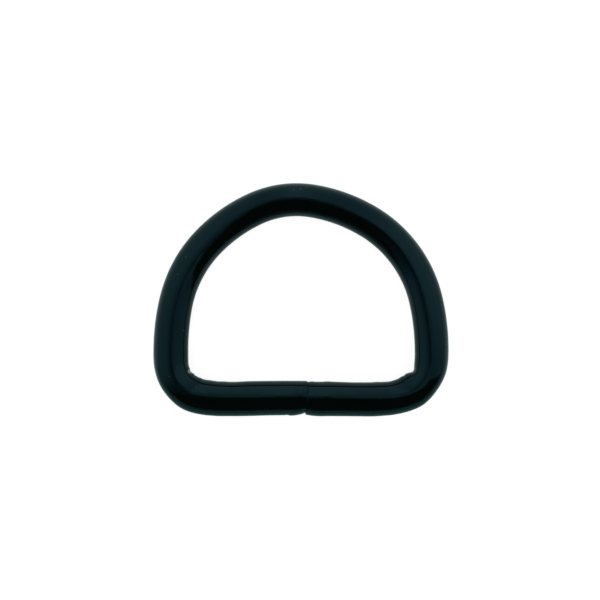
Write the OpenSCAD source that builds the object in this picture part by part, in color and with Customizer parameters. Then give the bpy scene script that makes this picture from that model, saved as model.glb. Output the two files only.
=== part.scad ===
// D ring for webbing, bent from one length of round wire and left open at a butt seam in its bar.
// It lies flat, with the bar towards -Y, the bow towards +Y and the surface at Z = 0.
// Sizes are in millimetres and degrees. Bends are given on the wire's centreline.

/* [Wire] */
// Diameter of the coated wire
wire_d = 3.65; // [2.4:0.05:4.6]

/* [Opening] */
// Clear width between the legs, which is the webbing's width
inner_w = 25; // [20:0.5:32]
// Clear height from the bar to the crown of the bow
inner_h = 18.25; // [15:0.25:26]

/* [Corners] */
// Inside radius of the right corner
right_corner_r = 3; // [1.5:0.1:5]
// Inside radius of the left corner, which was bent tighter
left_corner_r = 2.3; // [1.5:0.1:5]
// Angle that the right corner turns through
right_corner_turn = 89.2; // [84:0.1:89.8]
// Angle that the left corner turns through
left_corner_turn = 87.2; // [84:0.1:89.8]

/* [Legs] */
// Angle that the right leg turns through between its corner and the bow
right_leg_turn = 13; // [10:0.1:16]
// Angle that the left leg turns through between the bow and its corner
left_leg_turn = 13.9; // [10:0.1:16]

/* [Seam] */
// Distance of the seam from the middle of the ring, towards +X
seam_x = 0.6; // [-4:0.05:4]
// Gap between the two ends of the wire
seam_gap = 0.1; // [0.05:0.01:0.6]
// Lean of the cut, which stands further to +X at the inner side
seam_lean = 5; // [-8:0.5:8]
// How far the left end stands inwards of the right one
end_step = 0.08; // [0:0.01:0.3]
// Broken edge round both cut faces
end_chamfer = 0.12; // [0.05:0.01:0.3]
// Length of the taper that the cutter left on the outer side of the left end
left_taper_l = 1.4; // [0.5:0.1:3]
// Depth of that taper
left_taper_h = 0.33; // [0.1:0.01:0.6]
// Length of the taper on the outer side of the right end
right_taper_l = 0.4; // [0.2:0.1:2]
// Depth of that taper
right_taper_h = 0.3; // [0.1:0.01:0.6]

/* [Hidden] */
$fn = 96;

// Steps that headings, radii and places are rounded to, so that bends that meet share one circle
heading_step = 0.01;
radius_step = 0.001;
coarse_step = 0.01;
// Turn by which a bend runs on into the next stretch of wire, so that they make one solid
lap_turn = 0.00002;

// Columns of the table of the bow's bends, which runs from the right leg to the left one
TURN = 0;
SHARE = 1;
// Each bend's share of the bow's whole turn, and its radius as a share of the bow's size
BOW = [
    [0.301, 0.955],
    [0.136, 1.225],
    [0.219, 0.765],
    [0.126, 1.205],
    [0.218, 0.975],
];

wire_r = wire_d / 2;
span_x = inner_w + wire_d;
span_y = inner_h + wire_d;
right_bend_r = right_corner_r + wire_r;
left_bend_r = left_corner_r + wire_r;

// Headings along the wire, counter-clockwise from +X, at the end of each stretch
leg_foot = right_corner_turn;
bow_start = right_corner_turn + right_leg_turn;
bow_end = 360 - left_corner_turn - left_leg_turn;
leg_end = 360 - left_corner_turn;
bow_turn = bow_end - bow_start;

function snap(v, step) = round(v / step) * step;
function turned(i) = i == 0 ? 0 : turned(i - 1) + BOW[i - 1][TURN];
function bow_head(i) = i == len(BOW) ? bow_end : snap(bow_start + bow_turn * turned(i), heading_step);

// Headings of the joints between bends: corner, leg, the bow's own bends, leg, corner
HEADS = [0, leg_foot, for (i = [0 : len(BOW)]) bow_head(i), leg_end, 360];

// How far a bend of radius 1 reaches between two headings, towards +X and +Y
function reach_x(from, to) = sin(to) - sin(from);
function reach_y(from, to) = cos(from) - cos(to);
function total(list, i = 0) = i == len(list) ? 0 : list[i] + total(list, i + 1);
function bow_rise(from, to) = total([
    for (i = [0 : len(BOW) - 1])
        BOW[i][SHARE] * reach_y(
            min(max(bow_head(i), from), to),
            min(max(bow_head(i + 1), from), to)
        )
]);

// Height that the legs and the bow share out between them, on each side
right_rise = span_y - right_bend_r * reach_y(0, leg_foot);
left_rise = span_y - end_step - left_bend_r * reach_y(360, leg_end);
right_leg_reach = reach_y(leg_foot, bow_start);
left_leg_reach = reach_y(leg_end, bow_end);

// Width that each leg takes for each unit of its height, measured in from its widest point
right_lean_in = -reach_x(90, bow_start) / right_leg_reach;
left_lean_in = reach_x(270, bow_end) / left_leg_reach;
bow_width = -total([for (i = [0 : len(BOW) - 1]) BOW[i][SHARE] * reach_x(bow_head(i), bow_head(i + 1))]);

// The bow's size fills the width, and each leg's radius then fills what is left of the height
bow_size = (span_x - right_lean_in * right_rise - left_lean_in * left_rise)
    / (bow_width - right_lean_in * bow_rise(0, 180) + left_lean_in * bow_rise(180, 360));
right_leg_r = (right_rise - bow_size * bow_rise(0, 180)) / right_leg_reach;
left_leg_r = (left_rise + bow_size * bow_rise(180, 360)) / left_leg_reach;

// Centreline radius of each bend, in the order of HEADS
RADII = [
    for (r = [
        right_bend_r,
        right_leg_r,
        for (row = BOW) row[SHARE] * bow_size,
        left_leg_r,
        left_bend_r,
    ]) snap(r, radius_step)
];

// Where the right corner starts, with the widest point of the ring at half its width
bar_y = -span_y / 2;
corner_x = span_x / 2 - RADII[0] * reach_x(0, leg_foot) - RADII[1] * reach_x(leg_foot, 90);

function joint(i) = i == 0
    ? [corner_x, bar_y]
    : joint(i - 1) + RADII[i - 1] * [reach_x(HEADS[i - 1], HEADS[i]), reach_y(HEADS[i - 1], HEADS[i])];
function centre(i) = joint(i) + RADII[i] * [-sin(HEADS[i]), cos(HEADS[i])];

// Moves to a point of the centreline's plane in a coarse step and a fine one, so that no digit is lost
module at(p) {
    coarse = [snap(p.x, coarse_step), snap(p.y, coarse_step)];
    translate([coarse.x, coarse.y, wire_r])
        translate([p.x - coarse.x, p.y - coarse.y, 0])
            children();
}

// One bend of the wire, between two headings. The first one also runs back into the bar.
module bend(i) {
    before = i == 0 ? lap_turn : 0;
    at(centre(i))
        rotate_extrude(start = HEADS[i] - 90 - before, angle = HEADS[i + 1] - HEADS[i] + before + lap_turn)
            translate([RADII[i], 0])
                circle(r = wire_r);
}

// What the cutter takes past the end of the wire, along +Z from the cut face
module beyond_end() {
    rotate_extrude()
        polygon([
            [0, 0],
            [wire_r - end_chamfer, 0],
            [wire_r + end_chamfer, -2 * end_chamfer],
            [2 * wire_r, -2 * end_chamfer],
            [2 * wire_r, 3 * wire_r],
            [0, 3 * wire_r],
        ]);
}

// What the cutter takes off the outer side of the wire at its end, which lies at the origin
module taper_cut(length, depth) {
    translate([-length, -wire_r, -wire_r])
        rotate([0, 0, atan(depth / length)])
            translate([-wire_r, -wire_r, 0])
                cube([length + 3 * wire_r, wire_r, wire_d]);
}

// Half of the bar, from its corner to the seam. It lies to the right of the seam at side 1
// and to the left of it at side -1.
module half_bar(start, side, taper_l, taper_h) {
    face_x = seam_x + side * seam_gap / 2;
    difference() {
        at(start)
            rotate([0, -90 * side, 0])
                cylinder(r = wire_r, h = side * (start.x - seam_x) + wire_r);
        at([face_x, start.y])
            rotate([0, 0, -seam_lean])
                rotate([0, -90 * side, 0])
                    beyond_end();
        at([face_x, start.y])
            mirror([side > 0 ? 1 : 0, 0, 0])
                taper_cut(taper_l, taper_h);
    }
}

module wire_ring() {
    color("#0b191d") {
        half_bar(joint(0), 1, right_taper_l, right_taper_h);
        for (i = [0 : len(RADII) - 1]) bend(i);
        half_bar(joint(len(RADII)), -1, left_taper_l, left_taper_h);
    }
}

wire_ring();
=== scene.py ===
"""A black enamelled wire D ring, lying on a pale table under soft studio light.

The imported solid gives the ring's place and its driving sizes. The wire is built again here as a
finer mesh, with the swellings, the cropped ends and the blemishes that bending and dipping left.
Sizes of the ring are in millimetres until its mesh is made. The studio's are in metres. Angles are
given in degrees.
"""

from __future__ import annotations

import logging
import math
from collections.abc import Sequence
from dataclasses import dataclass, field
from enum import IntEnum

import bpy
import numpy as np
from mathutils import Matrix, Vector


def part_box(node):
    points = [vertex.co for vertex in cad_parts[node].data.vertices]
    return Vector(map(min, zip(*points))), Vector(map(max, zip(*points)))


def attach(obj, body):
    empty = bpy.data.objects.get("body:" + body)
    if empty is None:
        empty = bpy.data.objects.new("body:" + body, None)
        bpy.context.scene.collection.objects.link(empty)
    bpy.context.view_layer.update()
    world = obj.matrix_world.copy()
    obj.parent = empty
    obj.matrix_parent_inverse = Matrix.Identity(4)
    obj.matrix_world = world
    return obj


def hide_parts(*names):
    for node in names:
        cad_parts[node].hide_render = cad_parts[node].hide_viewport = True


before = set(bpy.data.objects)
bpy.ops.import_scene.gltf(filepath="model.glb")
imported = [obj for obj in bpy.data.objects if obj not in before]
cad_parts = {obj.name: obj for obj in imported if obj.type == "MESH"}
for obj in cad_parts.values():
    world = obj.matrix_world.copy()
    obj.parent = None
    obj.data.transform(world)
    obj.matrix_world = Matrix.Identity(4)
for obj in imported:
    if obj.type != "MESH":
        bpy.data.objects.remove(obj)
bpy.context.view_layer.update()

LOG = logging.getLogger("d_ring")
METRES = 0.001
FULL_TURN = 360.0
MIX_COLOURS = {"data_type": "RGBA"}
MIX_LOW, MIX_HIGH, MIX_RESULT = 6, 7, 2  # the colour sockets of Blender's Mix node
SMOOTH_STEP = {"interpolation_type": "SMOOTHSTEP"}
LARGER = {"operation": "MAXIMUM"}
Array = np.ndarray
Spot = tuple[float, Vector]  # a mark's radius in millimetres and its middle in metres


def linear(hex_colour: str) -> tuple[float, float, float, float]:
    """Turns an sRGB hex colour into the linear colour that a shader takes.

    Args:
        hex_colour: A colour such as "#8ee9ff".

    Returns:
        Linear red, green and blue, with an alpha of 1.
    """
    channels = [int(hex_colour[i : i + 2], 16) / 255 for i in (1, 3, 5)]
    red, green, blue = (c / 12.92 if c <= 0.04045 else ((c + 0.055) / 1.055) ** 2.4 for c in channels)
    return red, green, blue, 1.0


def per_metre(feature_mm: float) -> float:
    """Gives the texture scale at which a pattern repeats about once in feature_mm."""
    return 1.0 / (feature_mm * METRES)


def add_node(
    tree: bpy.types.NodeTree,
    kind: str,
    settings: dict[str, object] | None = None,
    values: dict[str | int, object] | None = None,
    links: dict[str | int, bpy.types.NodeSocket] | None = None,
) -> bpy.types.Node:
    """Adds one node, sets it up and links its inputs.

    Args:
        tree: The node tree that it goes into.
        kind: Blender's name of the node's type.
        settings: The node's own properties.
        values: Fixed values of its inputs, by name or number.
        links: Output sockets that feed its inputs, by name or number.

    Returns:
        The new node.
    """
    node = tree.nodes.new(kind)
    for name, value in (settings or {}).items():
        setattr(node, name, value)
    for key, value in (values or {}).items():
        node.inputs[key].default_value = value
    for key, socket in (links or {}).items():
        tree.links.new(socket, node.inputs[key])
    return node


def new_material(name: str) -> tuple[bpy.types.Material, bpy.types.NodeTree]:
    """Makes an empty node material.

    Args:
        name: The material's name.

    Returns:
        The material and its node tree, with no nodes in it.
    """
    material = bpy.data.materials.new(name)
    material.use_nodes = True
    material.node_tree.nodes.clear()
    return material, material.node_tree


def smooth_step(low: float, high: float, value: Array) -> Array:
    """Rises smoothly from 0 at low to 1 at high.

    Args:
        low: Where the step starts.
        high: Where it ends.
        value: Where it is wanted.

    Returns:
        The step's height at each value.
    """
    share = np.clip((value - low) / (high - low), 0.0, 1.0)
    return share * share * (3.0 - 2.0 * share)


class Finish(IntEnum):
    """The ring's finishes, numbered as the material slots of its mesh; the last is painted shade in the
    seam.
    """

    ENAMEL = 0
    STEEL = 1
    # painted shade in the seam between the cut ends
    SEAM_SHADE = 2


@dataclass(frozen=True)
class BowBend:
    """One bend of the bow: its share of the bow's turn, and its radius as a share of the bow's size."""

    turn: float
    radius: float


@dataclass(frozen=True)
class Stretch:
    """A stretch of the wire's centreline: straight with a radius of 0, and else bent to one radius."""

    start: tuple[float, float]
    heading: float
    length: float
    radius: float


@dataclass(frozen=True)
class RingSizes:
    """Driving sizes of the bent ring, in millimetres and degrees."""

    wire_d: float
    inner_w: float
    inner_h: float
    right_corner_r: float = 3.0
    left_corner_r: float = 2.3
    right_corner_turn: float = 89.2
    left_corner_turn: float = 87.2
    right_leg_turn: float = 13.0
    left_leg_turn: float = 13.9
    seam_x: float = 0.6
    end_step: float = 0.08
    bow: tuple[BowBend, ...] = (
        BowBend(turn=0.301, radius=0.955),
        BowBend(turn=0.136, radius=1.225),
        BowBend(turn=0.219, radius=0.765),
        BowBend(turn=0.126, radius=1.205),
        BowBend(turn=0.218, radius=0.975),
    )

    @classmethod
    def from_box(cls, low: Vector, high: Vector, grid: float = 0.05) -> RingSizes:
        """Reads the wire's diameter and the opening off the solid's box.

        Args:
            low: Lowest corner of the solid, in metres.
            high: Highest corner.
            grid: Step that sizes are rounded to, since facets cut the box a few microns short.

        Returns:
            The ring's sizes.
        """
        across, deep, thick = (round(s / METRES / grid) * grid for s in high - low)
        return cls(wire_d=thick, inner_w=across - 2 * thick, inner_h=deep - 2 * thick)

    def headings(self) -> list[float]:
        """Works out the headings where the bends meet.

        Returns:
            Headings in radians, from the start of the right corner to the end of the left one.
        """
        bow_start = self.right_corner_turn + self.right_leg_turn
        leg_end = FULL_TURN - self.left_corner_turn
        bow_turn = leg_end - self.left_leg_turn - bow_start
        shares = np.cumsum([0.0] + [bend.turn for bend in self.bow])
        turns = [0.0, self.right_corner_turn, *(bow_start + bow_turn * shares), leg_end, FULL_TURN]
        return [math.radians(turn) for turn in turns]

    def radii(self) -> list[float]:
        """Works out each bend's radius, so that the ring closes at its width and height.

        Each leg takes the height that its corner and the bow leave, and the bow fills the width.

        Returns:
            Radii on the centreline, from the right corner to the left one.
        """
        heads = self.headings()
        half_turn, quarter = math.pi, math.pi / 2
        spread = [bend.radius for bend in self.bow]
        bow_heads = heads[2:-2]

        def rise(start: float, end: float) -> float:
            """How far a bend of radius 1 climbs towards +Y between two headings."""
            return math.cos(start) - math.cos(end)

        def bow_rise(start: float, end: float) -> float:
            """How far a bow of size 1 climbs between two headings."""
            held = [min(max(head, start), end) for head in bow_heads]
            return sum(r * rise(a, b) for r, a, b in zip(spread, held, held[1:]))

        right = self.right_corner_r + self.wire_d / 2
        left = self.left_corner_r + self.wire_d / 2
        right_rise = self.inner_h + self.wire_d - right * rise(0, heads[1])
        left_rise = self.inner_h + self.wire_d - self.end_step - left * rise(2 * half_turn, heads[-2])
        right_reach, left_reach = rise(heads[1], heads[2]), rise(heads[-2], heads[-3])
        right_lean = (math.sin(quarter) - math.sin(heads[2])) / right_reach
        left_lean = (math.sin(heads[-3]) - math.sin(3 * quarter)) / left_reach
        width = -sum(r * (math.sin(b) - math.sin(a)) for r, a, b in zip(spread, bow_heads, bow_heads[1:]))
        room = self.inner_w + self.wire_d - right_lean * right_rise - left_lean * left_rise
        near, far = bow_rise(0, half_turn), bow_rise(half_turn, 2 * half_turn)
        size = room / (width - right_lean * near + left_lean * far)
        right_leg = (right_rise - size * near) / right_reach
        left_leg = (left_rise + size * far) / left_reach
        return [right, right_leg, *(r * size for r in spread), left_leg, left]


class Centreline:
    """The line along the middle of the wire, from its right cut face round to its left one.

    A place on it is the number of a stretch plus the share of that stretch that is passed: 0.5 is the
    middle of the bar's right half, 1.5 the middle of the right corner, and 10.5 that of the left half.
    """

    def __init__(self, sizes: RingSizes) -> None:
        """Strings the straight halves of the bar and the bends between them together.

        Args:
            sizes: The ring's driving sizes.
        """
        heads, radii = sizes.headings(), sizes.radii()
        half_w = (sizes.inner_w + sizes.wire_d) / 2
        to_side = radii[0] * math.sin(heads[1]) + radii[1] * (1 - math.sin(heads[1]))
        corner_x, bar_y = half_w - to_side, -(sizes.inner_h + sizes.wire_d) / 2
        self.stretches = [Stretch((sizes.seam_x, bar_y), 0.0, corner_x - sizes.seam_x, 0.0)]
        x, y = corner_x, bar_y
        for radius, start, end in zip(radii, heads, heads[1:]):
            self.stretches.append(Stretch((x, y), start, radius * (end - start), radius))
            x += radius * (math.sin(end) - math.sin(start))
            y += radius * (math.cos(start) - math.cos(end))
        self.stretches.append(Stretch((x, y), heads[-1], sizes.seam_x - x, 0.0))
        self.joints = np.cumsum([0.0] + [part.length for part in self.stretches])
        self.length = float(self.joints[-1])

    def along(self, place: float) -> float:
        """Turns a place into a distance from the right cut face."""
        part = min(int(place), len(self.stretches) - 1)
        return float(self.joints[part] + (place - part) * self.stretches[part].length)

    def at(self, along: Array) -> tuple[Array, Array]:
        """Finds points of the line.

        Args:
            along: Distances from the right cut face.

        Returns:
            The points, and the direction away from the ring's middle at each, with X and Y last.
        """
        point, outward = np.zeros((*along.shape, 2)), np.zeros((*along.shape, 2))
        which = np.clip(np.searchsorted(self.joints, along, side="right") - 1, 0, len(self.stretches) - 1)
        for number, part in enumerate(self.stretches):
            here = which == number
            run = along[here] - self.joints[number]
            turned = part.heading + (run / part.radius if part.radius else 0.0 * run)
            if part.radius:
                step_x = part.radius * (np.sin(turned) - math.sin(part.heading))
                step_y = part.radius * (math.cos(part.heading) - np.cos(turned))
            else:
                step_x, step_y = run * math.cos(part.heading), run * math.sin(part.heading)
            point[here] = np.stack([part.start[0] + step_x, part.start[1] + step_y], -1)
            outward[here] = np.stack([np.sin(turned), -np.cos(turned)], -1)
        return point, outward


class Profile:
    """A measure that changes smoothly along the wire, through the rows of a table."""

    def __init__(self, line: Centreline, rows: Sequence[Girth | Crest], part: str) -> None:
        """Reads one column of the table.

        Args:
            line: The wire's centreline.
            rows: The table, by rising place.
            part: Name of the column.
        """
        self.knots = np.array([line.along(row.place) for row in rows])
        self.heights = np.array([getattr(row, part) for row in rows])
        self.slopes = np.gradient(self.heights, self.knots)

    def at(self, along: Array) -> Array:
        """Finds the measure.

        Args:
            along: Distances from the right cut face.

        Returns:
            The measure at each distance.
        """
        row = np.clip(np.searchsorted(self.knots, along) - 1, 0, len(self.knots) - 2)
        width = self.knots[row + 1] - self.knots[row]
        t = np.clip((along - self.knots[row]) / width, 0.0, 1.0)
        left = (1 + 2 * t) * (1 - t) ** 2 * self.heights[row] + t * (1 - t) ** 2 * width * self.slopes[row]
        right = t * t * (3 - 2 * t) * self.heights[row + 1] + t * t * (t - 1) * width * self.slopes[row + 1]
        return left + right


@dataclass(frozen=True)
class Girth:
    """How far the wire stands proud of its nominal size on its outer and inner side, at one place."""

    place: float
    outer: float
    inner: float


@dataclass(frozen=True)
class Crest:
    """How far the top line of the wire leans outwards at one place, where bending made it out of round."""

    place: float
    shift: float


@dataclass(frozen=True)
class Blemish:
    """A small bump, or a dent if its height is negative, at a place and at an angle round the wire.

    The angle is 0 on the outer side, 90 on top and 180 on the inner side.
    """

    place: float
    angle: float
    height: float
    length: float
    breadth: float


@dataclass(frozen=True)
class Mark:
    """A round speck or rubbed spot on the coat, with its radius, which changes the colour and the gloss."""

    place: float
    angle: float
    size: float


@dataclass(frozen=True)
class CroppedEnd:
    """One cropped end of the wire: the broken edge round it, and the taper on its outer side."""

    edge: float
    taper_l: float
    taper_h: float


@dataclass(frozen=True)
class StovedEnamel:
    """Black stoving enamel on steel, dipped and baked.

    It flows out to a wet gloss, so that it mirrors the tent in clear bands. The dip leaves a faint
    orange peel, and its blue-black pigment turns the reflection of a lamp teal.
    """

    body: str = "#050d0b"
    thin_body: str = "#081210"
    sheen_tint: str = "#8ee9ff"
    dust: str = "#8d9796"
    rub: str = "#2e2926"
    ior: float = 1.33
    roughness: float = 0.085
    roughness_spread: float = 0.035
    peel_mm: float = 0.75
    peel_depth_mm: float = 0.0012
    cloud_mm: float = 0.45
    rub_break_mm: float = 0.16
    rub_break_span: tuple[float, float] = (0.42, 0.62)
    mark_dullness: float = 0.3
    mark_core: float = 0.5

    def material(self, specks: list[Spot], rubs: list[Spot]) -> bpy.types.Material:
        """Builds the coat with its marks.

        Args:
            specks: The specks of dust.
            rubs: The rubbed spots.

        Returns:
            The material.
        """
        material, tree = new_material("black_stoved_enamel")
        coords = add_node(tree, "ShaderNodeTexCoord").outputs["Object"]
        patterns = (
            {"Scale": per_metre(self.cloud_mm), "Detail": 3.0, "Roughness": 0.6},
            {"Scale": per_metre(self.peel_mm), "Detail": 1.5},
            {"Scale": per_metre(self.rub_break_mm), "Detail": 4.0},
        )
        cloud, peel, flakes = (
            add_node(tree, "ShaderNodeTexNoise", values=pattern, links={"Vector": coords}).outputs["Fac"]
            for pattern in patterns
        )
        dust, rubbed = self.spots(tree, coords, specks), self.spots(tree, coords, rubs)
        whole, bare = self.rub_break_span
        smooth, dull = self.roughness, self.roughness + self.roughness_spread
        broken, gloss = (
            add_node(tree, "ShaderNodeMapRange", values=limits, links={"Value": pattern}).outputs["Result"]
            for limits, pattern in (
                ({"From Min": whole, "From Max": bare}, flakes),
                ({"To Min": smooth, "To Max": dull}, cloud),
            )
        )
        worn = {0: rubbed, 1: broken}
        rub = add_node(tree, "ShaderNodeMath", {"operation": "MULTIPLY"}, links=worn).outputs[0]
        shades = {MIX_LOW: linear(self.body), MIX_HIGH: linear(self.thin_body)}
        body = add_node(tree, "ShaderNodeMix", MIX_COLOURS, shades, {"Factor": cloud}).outputs[MIX_RESULT]
        for mask, colour in ((rub, self.rub), (dust, self.dust)):
            over, under = {MIX_HIGH: linear(colour)}, {"Factor": mask, MIX_LOW: body}
            body = add_node(tree, "ShaderNodeMix", MIX_COLOURS, over, under).outputs[MIX_RESULT]
        marked = add_node(tree, "ShaderNodeMath", LARGER, links={0: dust, 1: rub}).outputs[0]
        dulled = add_node(
            tree,
            "ShaderNodeMath",
            {"operation": "MULTIPLY_ADD"},
            {1: self.mark_dullness},
            {0: marked, 2: gloss},
        ).outputs[0]
        relief = {"Strength": 1.0, "Distance": self.peel_depth_mm * METRES}
        bump = add_node(tree, "ShaderNodeBump", values=relief, links={"Height": peel}).outputs["Normal"]
        shader = add_node(
            tree,
            "ShaderNodeBsdfPrincipled",
            values={"IOR": self.ior, "Specular Tint": linear(self.sheen_tint)},
            links={"Base Color": body, "Roughness": dulled, "Normal": bump},
        )
        add_node(tree, "ShaderNodeOutputMaterial", links={"Surface": shader.outputs["BSDF"]})
        return material

    def spots(
        self, tree: bpy.types.NodeTree, coords: bpy.types.NodeSocket, spots: list[Spot]
    ) -> bpy.types.NodeSocket:
        """Makes a mask that is 1 inside round spots.

        Args:
            tree: The material's nodes.
            coords: The object's coordinates.
            spots: The spots' radii and middles.

        Returns:
            The socket with the mask.
        """
        mask, distance = None, {"operation": "DISTANCE"}
        for size, middle in spots:
            away = add_node(tree, "ShaderNodeVectorMath", distance, {1: middle}, {0: coords})
            spot = add_node(
                tree,
                "ShaderNodeMapRange",
                SMOOTH_STEP,
                {"From Min": size * METRES, "From Max": self.mark_core * size * METRES},
                {"Value": away.outputs["Value"]},
            ).outputs["Result"]
            if mask is not None:
                spot = add_node(tree, "ShaderNodeMath", LARGER, links={0: mask, 1: spot}).outputs[0]
            mask = spot
        return mask


@dataclass(frozen=True)
class GrainedFinish:
    """A plain finish, whose fine grain mixes two shades and may stand up in relief."""

    name: str
    low: str
    high: str
    grain_mm: float
    roughness: float
    detail: float = 3.0
    depth_mm: float = 0.0
    metallic: float = 0.0
    specular_level: float = 0.5
    glow: str = "#ffffff"
    glow_strength: float = 0.0

    def material(self) -> bpy.types.Material:
        """Builds the finish.

        Returns:
            The material.
        """
        material, tree = new_material(self.name)
        coords = add_node(tree, "ShaderNodeTexCoord").outputs["Object"]
        pattern = {"Scale": per_metre(self.grain_mm), "Detail": self.detail}
        noise = add_node(tree, "ShaderNodeTexNoise", values=pattern, links={"Vector": coords})
        grain = noise.outputs["Fac"]
        shades = {MIX_LOW: linear(self.low), MIX_HIGH: linear(self.high)}
        mixed = add_node(tree, "ShaderNodeMix", MIX_COLOURS, shades, {"Factor": grain})
        links = {"Base Color": mixed.outputs[MIX_RESULT]}
        if self.depth_mm:
            relief = {"Strength": 1.0, "Distance": self.depth_mm * METRES}
            bump = add_node(tree, "ShaderNodeBump", values=relief, links={"Height": grain})
            links["Normal"] = bump.outputs["Normal"]
        look = {
            "Metallic": self.metallic,
            "Roughness": self.roughness,
            "Specular IOR Level": self.specular_level,
            "Emission Color": linear(self.glow),
            "Emission Strength": self.glow_strength,
        }
        shader = add_node(tree, "ShaderNodeBsdfPrincipled", values=look, links=links)
        add_node(tree, "ShaderNodeOutputMaterial", links={"Surface": shader.outputs["BSDF"]})
        return material


@dataclass(frozen=True)
class BareSteel(GrainedFinish):
    """Mild steel wire, laid bare where the coat chipped off against the bending pin.

    It is a dull, scratched grey that scatters light all round, next to the dark mirror of the coat.
    """

    name: str = "bare_mild_steel"
    low: str = "#82787e"
    high: str = "#cdb9c2"
    grain_mm: float = 0.08
    detail: float = 4.0
    depth_mm: float = 0.01
    metallic: float = 1.0
    roughness: float = 0.5


@dataclass(frozen=True)
class SeamShade(GrainedFinish):
    """Painted shade in the seam: a matt, nearly black finish on the rounded rows round both cut ends.

    It takes the gloss away in a thin dark line where the two ends meet, which paints the shade in the notch
    between them.
    """

    name: str = "painted_seam_shade"
    low: str = "#040505"
    high: str = "#0d0e0e"
    grain_mm: float = 0.05
    roughness: float = 0.9
    specular_level: float = 0.08


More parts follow.
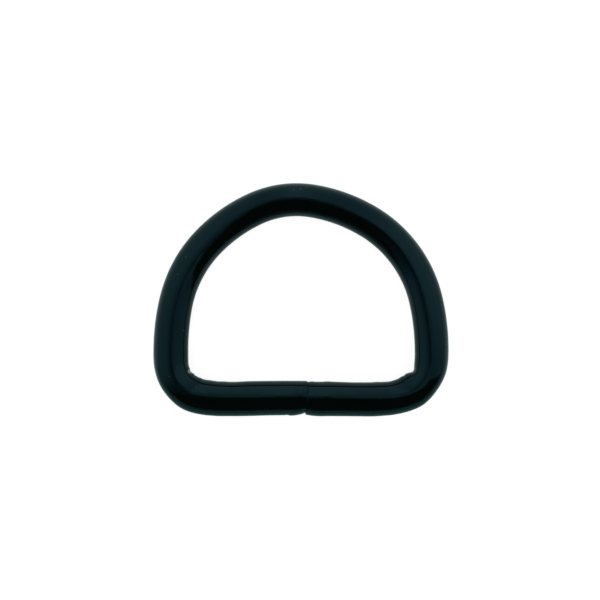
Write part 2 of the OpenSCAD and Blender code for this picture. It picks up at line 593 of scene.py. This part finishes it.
@dataclass
class WireRing:
    """The bent and dipped wire, from one cropped end to the other.

    The rows of girth and the blemishes follow the outline of the real ring. The bending pins swelled
    the inner side of each corner next to the bar and pinched it next to the leg, and the bow was drawn
    a tenth of a millimetre thinner than the bar. The crests lean its top line to one side, which moves
    the bands that it mirrors. The two cut faces overlap by a few microns, so that no light comes
    through the seam.
    """

    sizes: RingSizes
    enamel: StovedEnamel
    steel: BareSteel
    seam_shade: SeamShade
    around: int = 88
    pitch: float = 0.1
    corner_pitch: float = 0.062
    seam_overlap: float = 0.006
    seam_lean: float = 5.6
    seam_bow: float = 0.085
    drift_mm: float = 1.6
    drift_steps: int = 1200
    wave_mm: float = 0.0035
    wave_lengths_mm: tuple[float, ...] = (9.0, 6.1, 4.3, 3.1, 2.3, 1.7)
    wave_seed: int = 11
    end_reach: float = 2.0
    blend_rows: int = 14
    edge_rows: int = 7
    face_shares: tuple[float, ...] = (0.8, 0.5, 0.2)
    # rows round each cut end that take the painted shade of the seam
    shaded_seam_rows: int = 7
    taper_from: float = 0.25
    right_end: CroppedEnd = CroppedEnd(edge=0.06, taper_l=0.15, taper_h=0.12)
    left_end: CroppedEnd = CroppedEnd(edge=0.06, taper_l=0.05, taper_h=0.08)
    girths: tuple[Girth, ...] = (
        Girth(0.00, outer=-0.138, inner=0.138),
        Girth(0.02, outer=-0.118, inner=0.148),
        Girth(0.04, outer=-0.078, inner=0.163),
        Girth(0.08, outer=-0.018, inner=0.143),
        Girth(0.12, outer=0.019, inner=0.128),
        Girth(0.30, outer=0.030, inner=0.128),
        Girth(0.60, outer=0.050, inner=0.063),
        Girth(0.85, outer=0.055, inner=0.073),
        Girth(1.00, outer=-0.045, inner=0.138),
        Girth(1.12, outer=-0.100, inner=0.188),
        Girth(1.25, outer=-0.045, inner=0.213),
        Girth(1.40, outer=0.065, inner=0.203),
        Girth(1.50, outer=0.050, inner=0.143),
        Girth(1.55, outer=0.035, inner=0.063),
        Girth(1.60, outer=0.025, inner=-0.122),
        Girth(1.65, outer=0.035, inner=-0.282),
        Girth(1.70, outer=0.045, inner=-0.272),
        Girth(1.75, outer=0.065, inner=-0.172),
        Girth(1.82, outer=0.085, inner=-0.072),
        Girth(1.90, outer=0.075, inner=-0.017),
        Girth(2.10, outer=0.090, inner=0.003),
        Girth(2.60, outer=0.105, inner=-0.002),
        Girth(3.10, outer=0.095, inner=-0.022),
        Girth(3.50, outer=0.075, inner=-0.047),
        Girth(4.50, outer=0.065, inner=-0.054),
        Girth(5.30, outer=0.063, inner=-0.060),
        Girth(6.50, outer=0.068, inner=-0.017),
        Girth(7.30, outer=0.067, inner=0.013),
        Girth(8.00, outer=0.065, inner=0.053),
        Girth(8.30, outer=0.090, inner=0.083),
        Girth(8.60, outer=0.095, inner=0.098),
        Girth(9.00, outer=0.090, inner=0.098),
        Girth(9.12, outer=0.045, inner=0.083),
        Girth(9.25, outer=0.035, inner=0.103),
        Girth(9.40, outer=0.005, inner=0.118),
        Girth(9.50, outer=0.017, inner=0.173),
        Girth(9.65, outer=0.055, inner=0.248),
        Girth(9.80, outer=0.015, inner=0.250),
        Girth(9.90, outer=-0.010, inner=0.243),
        Girth(10.00, outer=0.032, inner=0.233),
        Girth(10.09, outer=0.100, inner=0.098),
        Girth(10.20, outer=0.113, inner=0.033),
        Girth(10.40, outer=0.099, inner=0.099),
        Girth(10.60, outer=0.038, inner=0.137),
        Girth(10.80, outer=0.010, inner=0.148),
        Girth(10.90, outer=0.005, inner=0.148),
        Girth(10.94, outer=-0.065, inner=0.143),
        Girth(10.965, outer=-0.123, inner=0.143),
        Girth(10.985, outer=-0.213, inner=0.143),
        Girth(11.00, outer=-0.238, inner=0.138),
    )
    crests: tuple[Crest, ...] = (
        Crest(0.00, shift=-0.08),
        Crest(0.30, shift=-0.13),
        Crest(0.90, shift=-0.12),
        Crest(1.20, shift=-0.07),
        Crest(1.45, shift=0.08),
        Crest(1.65, shift=0.00),
        Crest(2.00, shift=-0.03),
        Crest(2.60, shift=-0.10),
        Crest(3.00, shift=-0.14),
        Crest(3.40, shift=-0.02),
        Crest(3.70, shift=0.10),
        Crest(4.50, shift=0.11),
        Crest(5.20, shift=0.16),
        Crest(6.00, shift=0.19),
        Crest(6.50, shift=0.07),
        Crest(7.00, shift=-0.07),
        Crest(7.50, shift=-0.08),
        Crest(8.00, shift=0.00),
        Crest(9.00, shift=0.03),
        Crest(9.40, shift=0.05),
        Crest(9.65, shift=0.03),
        Crest(9.85, shift=-0.15),
        Crest(10.05, shift=-0.15),
        Crest(10.30, shift=-0.12),
        Crest(10.70, shift=-0.08),
        Crest(11.00, shift=-0.09),
    )
    blemishes: tuple[Blemish, ...] = (
        Blemish(1.36, 175, height=0.03, length=0.22, breadth=0.5),
        Blemish(1.45, 172, height=-0.04, length=0.14, breadth=0.45),
        Blemish(1.51, 176, height=0.035, length=0.12, breadth=0.4),
        Blemish(1.585, 170, height=0.03, length=0.12, breadth=0.35),
        Blemish(9.215, 176, height=0.04, length=0.10, breadth=0.3),
        Blemish(9.295, 170, height=-0.25, length=0.30, breadth=0.5),
        Blemish(9.43, 176, height=0.10, length=0.12, breadth=0.35),
        Blemish(9.60, 178, height=-0.02, length=0.15, breadth=0.5),
        Blemish(9.72, 176, height=0.025, length=0.2, breadth=0.5),
        Blemish(10.16, 178, height=0.03, length=0.5, breadth=0.5),
        Blemish(10.42, 30, height=0.02, length=0.35, breadth=0.3),
        Blemish(10.845, 4, height=0.035, length=0.3, breadth=0.5),
        Blemish(10.80, 8, height=-0.035, length=0.18, breadth=0.4),
        Blemish(10.93, 118, height=0.03, length=0.45, breadth=0.7),
        Blemish(10.998, 180, height=-0.08, length=0.12, breadth=0.4),
        Blemish(0.00, 180, height=-0.06, length=0.09, breadth=0.4),
        Blemish(0.26, 180, height=0.035, length=0.5, breadth=0.4),
        Blemish(0.57, 180, height=-0.01, length=0.5, breadth=0.4),
        Blemish(0.86, 180, height=0.03, length=0.35, breadth=0.4),
    )
    dust: tuple[Mark, ...] = (
        Mark(5.315, 62, size=0.045),
        Mark(5.210, 56, size=0.055),
        Mark(5.125, 46, size=0.04),
        Mark(6.320, 26, size=0.045),
        Mark(7.600, 64, size=0.045),
        Mark(7.365, 59, size=0.035),
        Mark(8.405, 138, size=0.045),
        Mark(8.720, 157, size=0.055),
        Mark(2.335, 32, size=0.055),
        Mark(9.210, 77, size=0.038),
        Mark(9.710, 121, size=0.04),
    )
    rubs: tuple[Mark, ...] = (
        Mark(9.55, 165, size=0.5),
        Mark(9.82, 170, size=0.55),
        Mark(10.22, 172, size=0.6),
        Mark(1.39, 170, size=0.4),
        Mark(0.86, 174, size=0.5),
        Mark(0.27, 174, size=0.5),
        Mark(10.85, 6, size=0.45),
    )
    chip: Blemish = Blemish(9.295, 166, height=0.0, length=0.40, breadth=0.46)
    chip_coarse: float = 0.18
    chip_fine: float = 0.12
    radius: float = field(init=False)
    line: Centreline = field(init=False)
    outer: Profile = field(init=False)
    inner: Profile = field(init=False)
    crest: Profile = field(init=False)
    fine: Array = field(init=False)
    drift: Array = field(init=False)

    def __post_init__(self) -> None:
        """Works out the centreline, the profiles and the slow drift of the wire to one side."""
        self.line = Centreline(self.sizes)
        self.radius = self.sizes.wire_d / 2
        self.outer = Profile(self.line, self.girths, "outer")
        self.inner = Profile(self.line, self.girths, "inner")
        self.crest = Profile(self.line, self.crests, "shift")
        self.fine = np.linspace(0, self.line.length, self.drift_steps)
        lean = (self.outer.at(self.fine) - self.inner.at(self.fine)) / 2
        apart = (self.fine[:, None] - self.fine[None, :]) / self.drift_mm
        weights = np.exp(-0.5 * apart**2)
        self.drift = (weights @ lean) / weights.sum(1)

    def surface(self, along: Array, angle: Array, shrink: Array) -> tuple[Array, Array, Array]:
        """Finds points of the coated wire's surface.

        Args:
            along: Distances from the right cut face.
            angle: Angles round the wire: 0 outwards, a quarter turn on top, half a turn inwards.
            shrink: How far each point is drawn in towards the middle of the wire.

        Returns:
            Each point's place on the centreline, its outward direction, and its offset from the
            centreline outwards and upwards.
        """
        point, outward = self.line.at(along)
        drift = np.interp(along, self.fine, self.drift)
        across, up = np.cos(angle), np.sin(angle)
        proud = np.where(across > 0, self.outer.at(along) - drift, self.inner.at(along) + drift)
        lift = self.dimples(along, angle) + self.waves(along, angle) - shrink
        out = drift + across * (self.radius + proud * across**2 + lift)
        out += self.crest.at(along) * up**2
        return point, outward, np.stack([out, up * (self.radius + lift)], -1)

    def dimples(self, along: Array, angle: Array) -> Array:
        """Sums the blemishes' heights.

        Args:
            along: Distances from the right cut face.
            angle: Angles round the wire.

        Returns:
            The height at each point.
        """
        total = np.zeros_like(along)
        for mark in self.blemishes:
            run = (along - self.line.along(mark.place)) / mark.length
            turn = np.angle(np.exp(1j * (angle - math.radians(mark.angle)))) * self.radius / mark.breadth
            total += mark.height * np.exp(-(run**2) - turn**2)
        return total

    def waves(self, along: Array, angle: Array) -> Array:
        """Gives the slow waviness that the dip leaves, which makes the mirrored bands tremble a little.

        Args:
            along: Distances from the right cut face.
            angle: Angles round the wire.

        Returns:
            The height at each point.
        """
        draw = np.random.default_rng(self.wave_seed)
        total = np.zeros_like(along)
        for length in self.wave_lengths_mm:
            lobes, phase = draw.integers(1, 4), draw.uniform(0, 2 * math.pi, 2)
            total += np.sin(2 * math.pi * along / length + phase[0]) * np.cos(lobes * angle + phase[1])
        return total * self.wave_mm / 2

    def end_rows(self, end: CroppedEnd, angle: Array) -> tuple[Array, Array]:
        """Lays the rows of points that round off one end, from the plain wire to the cut face.

        Args:
            end: The cropped end.
            angle: Angles round the wire, for one row.

        Returns:
            Each row's distances from the cut face, and how far its points are drawn in.
        """
        share = smooth_step(self.taper_from, 1.0, np.cos(angle))
        length = end.edge + (end.taper_l - end.edge) * share
        depth = end.edge + (end.taper_h - end.edge) * share
        rows, shrink = [], []
        for part in np.linspace(0, 1, self.blend_rows, endpoint=False):
            rows.append(self.end_reach + (length - self.end_reach) * part)
            shrink.append(0.0 * angle)
        for part in np.linspace(0, math.pi / 2, self.edge_rows):
            rows.append(length * (1 - math.sin(part)))
            shrink.append(depth * (1 - math.cos(part)))
        for part in self.face_shares:
            rows.append(0.0 * angle)
            shrink.append(self.radius - (self.radius - depth) * part)
        return np.array(rows), np.array(shrink)

    def grid(self) -> tuple[Array, Array, Array]:
        """Lays out the rows of points from the right cut face to the left one.

        Returns:
            Each point's distance along the wire, its angle and how far it is drawn in.
        """
        angle = np.linspace(0, 2 * math.pi, self.around, endpoint=False)
        right, right_shrink = self.end_rows(self.right_end, angle)
        left, left_shrink = self.end_rows(self.left_end, angle)
        steps = [np.arange(self.end_reach, self.line.joints[1], self.pitch)]
        for number, part in enumerate(self.line.stretches[1:-1], start=1):
            pitch = self.corner_pitch if number in (1, len(self.line.stretches) - 2) else self.pitch
            count = max(2, round(part.length / pitch))
            start, end = self.line.joints[number : number + 2]
            steps.append(np.linspace(start, end, count, endpoint=False))
        steps.append(np.arange(self.line.joints[-2], self.line.length - self.end_reach, self.pitch))
        body = np.concatenate(steps)[:, None] + 0.0 * angle
        along = np.concatenate([right[::-1], body[1:], self.line.length - left])
        shrink = np.concatenate([right_shrink[::-1], 0.0 * body[1:], left_shrink])
        return along, np.broadcast_to(angle, along.shape), shrink

    def lean_of_seam(self, along: Array, out: Array) -> Array:
        """Shears the two ends, so that the seam between them leans and bows as the cropping left it.

        Args:
            along: Distances from the right cut face.
            out: Offsets from the centreline, outwards.

        Returns:
            How far each point moves towards +X.
        """
        half = -self.seam_overlap / 2
        line = self.seam_bow * (1 - (out / self.radius) ** 2) - math.tan(math.radians(self.seam_lean)) * out
        from_right = 1 - smooth_step(0, self.end_reach, along)
        from_left = 1 - smooth_step(0, self.end_reach, self.line.length - along)
        return from_right * (line + half) + from_left * (line - half)

    def points(self) -> tuple[Array, Array, Array]:
        """Works out the mesh's points.

        Returns:
            The points in metres, row by row, and each one's distance along the wire and its angle.
        """
        along, angle, shrink = self.grid()
        point, outward, offset = self.surface(along, angle, shrink)
        spot = point + outward * offset[..., :1]
        spot[..., 0] += self.lean_of_seam(along, offset[..., 0])
        height = np.maximum(self.radius + offset[..., 1], 0.0)
        return np.concatenate([spot, height[..., None]], -1) * METRES, along, angle

    def build(self) -> bpy.types.Object:
        """Builds the wire's mesh with its finishes.

        Returns:
            The ring's object.
        """
        points, along, angle = self.points()
        rows, around = along.shape
        number = np.arange(rows * around).reshape(rows, around)
        beside = np.roll(number, -1, axis=1)
        quads = np.stack([number[:-1], number[1:], beside[1:], beside[:-1]], -1).reshape(-1, 4)
        middles = [points[0].mean(0), points[-1].mean(0)]
        first, last = rows * around, rows * around + 1
        fans = [(int(a), int(b), first) for a, b in zip(number[0], beside[0])]
        fans += [(int(b), int(a), last) for a, b in zip(number[-1], beside[-1])]
        mesh = bpy.data.meshes.new("enamelled_wire")
        vertices = np.concatenate([points.reshape(-1, 3), middles])
        mesh.from_pydata(vertices.tolist(), [], quads.tolist() + fans)
        mesh.polygons.foreach_set("use_smooth", np.ones(len(mesh.polygons), bool))
        finish = np.where(self.chipped(along, angle), Finish.STEEL, Finish.ENAMEL).astype(np.int32)
        # The rounded rows at both cut ends, and the end caps, take the painted seam shade.
        finish[: self.shaded_seam_rows] = finish[-self.shaded_seam_rows :] = Finish.SEAM_SHADE
        finish = np.concatenate([finish.reshape(-1), np.full(len(fans), Finish.SEAM_SHADE, np.int32)])
        coat = self.enamel.material(self.placed(self.dust), self.placed(self.rubs))
        for material in (coat, self.steel.material(), self.seam_shade.material()):
            mesh.materials.append(material)
        mesh.polygons.foreach_set("material_index", finish)
        mesh.validate()
        ring = bpy.data.objects.new("enamelled_wire", mesh)
        bpy.context.scene.collection.objects.link(ring)
        return ring

    def chipped(self, along: Array, angle: Array) -> Array:
        """Picks the faces where the coat has chipped off, with a ragged outline.

        Args:
            along: Distances of the points from the right cut face.
            angle: Their angles round the wire.

        Returns:
            True for each face in the chip.
        """
        run = (along[:-1] - self.line.along(self.chip.place)) / self.chip.length
        turn = (angle[:-1] - math.radians(self.chip.angle)) * self.radius / self.chip.breadth
        # Slanting teeth, nearly three to a millimetre along the wire, with five finer ones among them.
        coarse_teeth = np.sin(9 * angle[:-1] + 17 * along[:-1])
        fine_teeth = np.sin(31 * along[:-1])
        return run**2 + turn**2 < 1 + self.chip_coarse * coarse_teeth + self.chip_fine * fine_teeth

    def placed(self, marks: tuple[Mark, ...]) -> list[Spot]:
        """Finds the marks' points on the surface.

        Args:
            marks: Specks or rubbed spots.

        Returns:
            Each mark's radius in millimetres and its point in metres.
        """
        spots = []
        for mark in marks:
            along = np.array([self.line.along(mark.place)])
            angle = np.array([math.radians(mark.angle)])
            point, outward, offset = self.surface(along, angle, 0.0 * along)
            spot = point[0] + outward[0] * offset[0, 0]
            spots.append((mark.size, Vector((*spot, self.radius + offset[0, 1])) * METRES))
        return spots


@dataclass(frozen=True)
class OpalTable(GrainedFinish):
    """Opal acrylic, cast and matt on top, as the top of a light table.

    The lamps under it whiten it evenly, so that the ring throws only a faint shadow round its foot.
    """

    name: str = "opal_acrylic"
    low: str = "#e4e4e4"
    high: str = "#e8e8e8"
    grain_mm: float = 0.6
    depth_mm: float = 0.003
    roughness: float = 0.9
    specular_level: float = 0.1
    glow_strength: float = 0.84


@dataclass(frozen=True)
class ShadedCard:
    """Glowing card that stands in for the table in the coat's mirror, as a painted reflection with painted
    shade.

    It is no lamp. The table shows far dimmer in the coat's mirror than its white top does to the camera.
    The card is darker inside the ring, as the ring's painted shadow on the table, darker towards the open
    front of the tent as painted shade, and brighter outside the bow.
    """

    # Glow colours: painted shadow inside the ring, the lit table outside the bow, painted shade towards the
    # open front.
    inside: str = "#aec5c2"
    outside: str = "#cbe4e4"
    front: str = "#86b3ae"
    edge_mm: tuple[float, float] = (10.0, 18.0)
    front_y_mm: tuple[float, float] = (-14.0, -8.0)

    def material(self) -> bpy.types.Material:
        """Builds the card with its shaded parts.

        Returns:
            The material.
        """
        material, tree = new_material("painted_table_reflection")
        coords = add_node(tree, "ShaderNodeTexCoord").outputs["Object"]
        away = add_node(tree, "ShaderNodeVectorMath", {"operation": "LENGTH"}, links={0: coords})
        depth = add_node(tree, "ShaderNodeSeparateXYZ", links={"Vector": coords})
        spans = ((away.outputs["Value"], self.edge_mm), (depth.outputs["Y"], self.front_y_mm))
        outer, back = (
            add_node(
                tree,
                "ShaderNodeMapRange",
                SMOOTH_STEP,
                {"From Min": low * METRES, "From Max": high * METRES},
                {"Value": value},
            ).outputs["Result"]
            for value, (low, high) in spans
        )
        shades = {MIX_LOW: linear(self.inside), MIX_HIGH: linear(self.outside)}
        shade = add_node(tree, "ShaderNodeMix", MIX_COLOURS, shades, {"Factor": outer}).outputs[MIX_RESULT]
        under, over = {MIX_LOW: linear(self.front)}, {"Factor": back, MIX_HIGH: shade}
        shade = add_node(tree, "ShaderNodeMix", MIX_COLOURS, under, over).outputs[MIX_RESULT]
        # The card glows with the painted reflection of the table and its shade.
        shine = add_node(tree, "ShaderNodeEmission", links={"Color": shade})
        add_node(tree, "ShaderNodeOutputMaterial", links={"Surface": shine.outputs["Emission"]})
        return material


@dataclass(frozen=True)
class Rib:
    """A rib of the tent: its compass angle, its glow, and how far from the zenith its cloth reaches.

    The cloth starts at near and ends at far.
    """

    compass: float
    far: float
    glow: float
    near: float = 0.1


@dataclass(frozen=True)
class Shade:
    """A soft dim patch on the cloth: its compass angle, its angle from the zenith, its width and depth."""

    compass: float
    dip: float
    width: float
    depth: float


@dataclass
class LightTent:
    """A small white tent over the ring, lit from outside, which the coat mirrors.

    Its front is open, and a slot at its top lets the camera look in. The ribs run counter-clockwise
    from the right side of the opening to the left one. Only mirrored rays meet the cloth.
    """

    reach: float = 0.13
    step: float = 3.0
    edge_fade: float = 0.14
    low_front_glow: float = 0.5
    low_front_start: float = 224.0
    low_front_end: float = 304.0
    low_front_dips: tuple[float, float] = (82.0, 89.0)
    ribs: tuple[Rib, ...] = (
        Rib(-60, far=4, glow=0.60),
        Rib(-50, far=11, glow=0.74),
        Rib(-44, far=19, glow=0.76),
        Rib(-37, far=27, glow=0.76),
        Rib(-30, far=38, glow=0.70),
        Rib(-26, far=68, glow=0.50),
        Rib(-21, far=88, glow=0.62),
        Rib(-4, far=88, glow=0.70),
        Rib(4, far=88, glow=0.91),
        Rib(16, far=88, glow=0.99),
        Rib(30, far=88, glow=1.03),
        Rib(45, near=1, far=89, glow=1.04),
        Rib(58, near=4, far=89, glow=0.86),
        Rib(72, near=7, far=89, glow=0.76),
        Rib(82, near=8, far=89, glow=0.97),
        Rib(90, near=8, far=89, glow=1.22),
        Rib(98, near=8, far=89, glow=0.97),
        Rib(108, near=6, far=89, glow=0.76),
        Rib(120, near=3, far=89, glow=0.88),
        Rib(135, far=89, glow=0.95),
        Rib(150, far=89, glow=0.96),
        Rib(166, far=89, glow=0.87),
        Rib(178, far=88, glow=0.79),
        Rib(190, far=88, glow=0.78),
        Rib(198, far=88, glow=0.70),
        Rib(205, far=88, glow=0.58),
        Rib(210, far=88, glow=0.42),
        Rib(215, far=88, glow=0.27),
        Rib(220, far=72, glow=0.16),
        Rib(226, far=46, glow=0.13),
        Rib(236, far=28, glow=0.07),
        Rib(248, far=7, glow=0.20),
        Rib(264, far=4, glow=0.22),
        Rib(284, far=4, glow=0.32),
        Rib(299, far=4, glow=0.55),
    )
    shade: Shade = Shade(192, dip=13, width=14, depth=0.40)
    dim_hue: str = "#a4e1ff"
    full_hue: str = "#ffffff"

    def cloth(self) -> bpy.types.Material:
        """Builds the glowing cloth, which takes its glow from the ribs and is bluer where it is dim.

        Returns:
            The material.
        """
        material, tree = new_material("tent_cloth")
        glow = add_node(tree, "ShaderNodeAttribute", {"attribute_name": "glow"}).outputs["Fac"]
        hues = {MIX_LOW: linear(self.dim_hue), MIX_HIGH: linear(self.full_hue)}
        hue = add_node(tree, "ShaderNodeMix", MIX_COLOURS, hues, {"Factor": glow}).outputs[MIX_RESULT]
        shine = add_node(tree, "ShaderNodeEmission", links={"Color": hue, "Strength": glow})
        add_node(tree, "ShaderNodeOutputMaterial", links={"Surface": shine.outputs["Emission"]})
        return material

    def sheet(self, name: str, columns: Array, near: Array, far: Array, glow: Array) -> None:
        """Hangs a sheet of cloth.

        Args:
            name: The sheet's name.
            columns: Compass angles of its columns.
            near: The angle from the zenith at which each column starts.
            far: The angle at which it ends.
            glow: The radiance of each column.
        """
        rows = 1 + math.ceil(90 / self.step)
        share = np.linspace(0, 1, rows)[:, None]
        dip = np.radians(near + (far - near) * share)
        turn = np.radians(columns)[None, :]
        level = np.sin(dip)
        spots = np.stack([level * np.cos(turn), level * np.sin(turn), np.cos(dip) + 0 * turn], -1)
        number = np.arange(rows * len(columns)).reshape(rows, -1)
        quads = np.stack([number[:-1, :-1], number[1:, :-1], number[1:, 1:], number[:-1, 1:]], -1)
        mesh = bpy.data.meshes.new(name)
        mesh.from_pydata((spots * self.reach).reshape(-1, 3).tolist(), [], quads.reshape(-1, 4).tolist())
        layer = mesh.attributes.new("glow", "FLOAT", "POINT")
        halfway = math.pi / 4
        fade = 1.0 - self.edge_fade * ((dip - halfway) / halfway) ** 2
        tilt, bearing = math.radians(self.shade.dip), math.radians(self.shade.compass)
        middle = (math.sin(tilt) * math.cos(bearing), math.sin(tilt) * math.sin(bearing), math.cos(tilt))
        away = np.degrees(np.arccos(np.clip(spots @ np.array(middle), -1.0, 1.0)))
        fade = fade * (1.0 - self.shade.depth * np.exp(-((away / self.shade.width) ** 2)))
        layer.data.foreach_set("value", (glow * fade).reshape(-1).astype(np.float32))
        mesh.materials.append(self.cloth())
        hung = bpy.data.objects.new(name, mesh)
        hung.visible_camera = hung.visible_diffuse = hung.visible_shadow = False
        hung.visible_transmission = hung.visible_volume_scatter = False
        bpy.context.scene.collection.objects.link(hung)

    def build(self) -> None:
        """Hangs the cloth between the ribs, and the low sheet across the open front."""
        at = np.array([rib.compass for rib in self.ribs], float)
        columns = np.unique(np.concatenate([at, np.arange(at[0], at[-1], self.step)]))
        near, far, glow = (
            np.interp(columns, at, [getattr(rib, part) for rib in self.ribs])
            for part in ("near", "far", "glow")
        )
        self.sheet("tent_cloth", columns, near, far, glow)
        front = np.arange(self.low_front_start, self.low_front_end, self.step)
        low_near, low_far = self.low_front_dips
        level = np.ones_like(front)
        self.sheet("tent_front", front, low_near * level, low_far * level, self.low_front_glow * level)


@dataclass
class Studio:
    """The light table, the white tent that stands over it with its front open, and the camera.

    The middle of the view stands a little off the ring's own, as it does in the picture.
    """

    table: OpalTable
    card: ShadedCard
    tent: LightTent
    table_w: float = 3.0
    card_drop: float = 0.0001
    camera_h: float = 0.3
    view_w: float = 0.066
    view_middle: tuple[float, float] = (-0.000118, -0.000021)
    sensor_mm: float = 36.0
    clip: tuple[float, float] = (0.01, 10.0)
    room_light: float = 0.35

    def lay_sheet(self, name: str, height: float, material: bpy.types.Material) -> bpy.types.Object:
        """Lays a square sheet under the ring.

        Args:
            name: The sheet's name.
            height: Its height, in metres.
            material: What it is made of.

        Returns:
            The sheet's object.
        """
        half = self.table_w / 2
        corners = [(x * half, y * half, height) for x, y in ((-1, -1), (1, -1), (1, 1), (-1, 1))]
        mesh = bpy.data.meshes.new(name)
        mesh.from_pydata(corners, [], [(0, 1, 2, 3)])
        mesh.materials.append(material)
        sheet = bpy.data.objects.new(name, mesh)
        bpy.context.scene.collection.objects.link(sheet)
        return sheet

    def lay_table(self) -> None:
        """Lays the table top, and under it the card that the coat mirrors instead of it, whose glow paints
        the table's reflection and its shade.
        """
        top = self.lay_sheet("table_top", 0.0, self.table.material())
        top.visible_glossy = False
        # The card's glow paints the table's reflection and shade; the camera, diffuse light and shadows
        # don't meet it.
        card = self.lay_sheet("painted_reflection_card", -self.card_drop, self.card.material())
        card.visible_camera = card.visible_diffuse = card.visible_shadow = False

    def light_room(self) -> None:
        """Gives the room a white light that whitens the table and stays out of the coat's mirror."""
        world = bpy.data.worlds.new("white_room")
        bpy.context.scene.world = world
        world.use_nodes = True
        background = world.node_tree.nodes["Background"]
        background.inputs["Color"].default_value = (1.0, 1.0, 1.0, 1.0)
        background.inputs["Strength"].default_value = self.room_light
        world.cycles_visibility.glossy = False
        bpy.context.scene.view_settings.view_transform = "Standard"

    def set_camera(self, subject_h: float) -> None:
        """Hangs the camera straight over the ring, with the bow at the top of the picture.

        Args:
            subject_h: Height above the table of the plane that fills the view, in metres.
        """
        lens = bpy.data.cameras.new("overhead_camera")
        lens.sensor_width = self.sensor_mm
        lens.lens = self.sensor_mm * self.camera_h / self.view_w
        lens.clip_start, lens.clip_end = self.clip
        camera = bpy.data.objects.new("overhead_camera", lens)
        camera.location = (*self.view_middle, subject_h + self.camera_h)
        bpy.context.scene.collection.objects.link(camera)
        bpy.context.scene.camera = camera

    def build(self, subject_h: float) -> None:
        """Sets up the table, the room's light, the tent and the camera.

        Args:
            subject_h: Height of the ring's middle above the table, in metres.
        """
        self.lay_table()
        self.light_room()
        self.tent.build()
        self.set_camera(subject_h)


def main() -> None:
    """Builds the ring and the studio round it."""
    logging.basicConfig(level=logging.INFO, format="%(name)s: %(message)s")
    low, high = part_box("wire_ring")
    # The seam's finish paints the shade in the notch between the two cut ends.
    ring = WireRing(RingSizes.from_box(low, high), StovedEnamel(), BareSteel(), SeamShade())
    piece = ring.build()
    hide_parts("wire_ring")
    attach(piece, "root")
    LOG.info("%s: %.1f mm of wire, %d faces", piece.name, ring.line.length, len(piece.data.polygons))
    Studio(OpalTable(), ShadedCard(), LightTent()).build(subject_h=ring.radius * METRES)
    LOG.info("studio: light table, white tent and overhead camera")


if __name__ == "__main__":
    main()
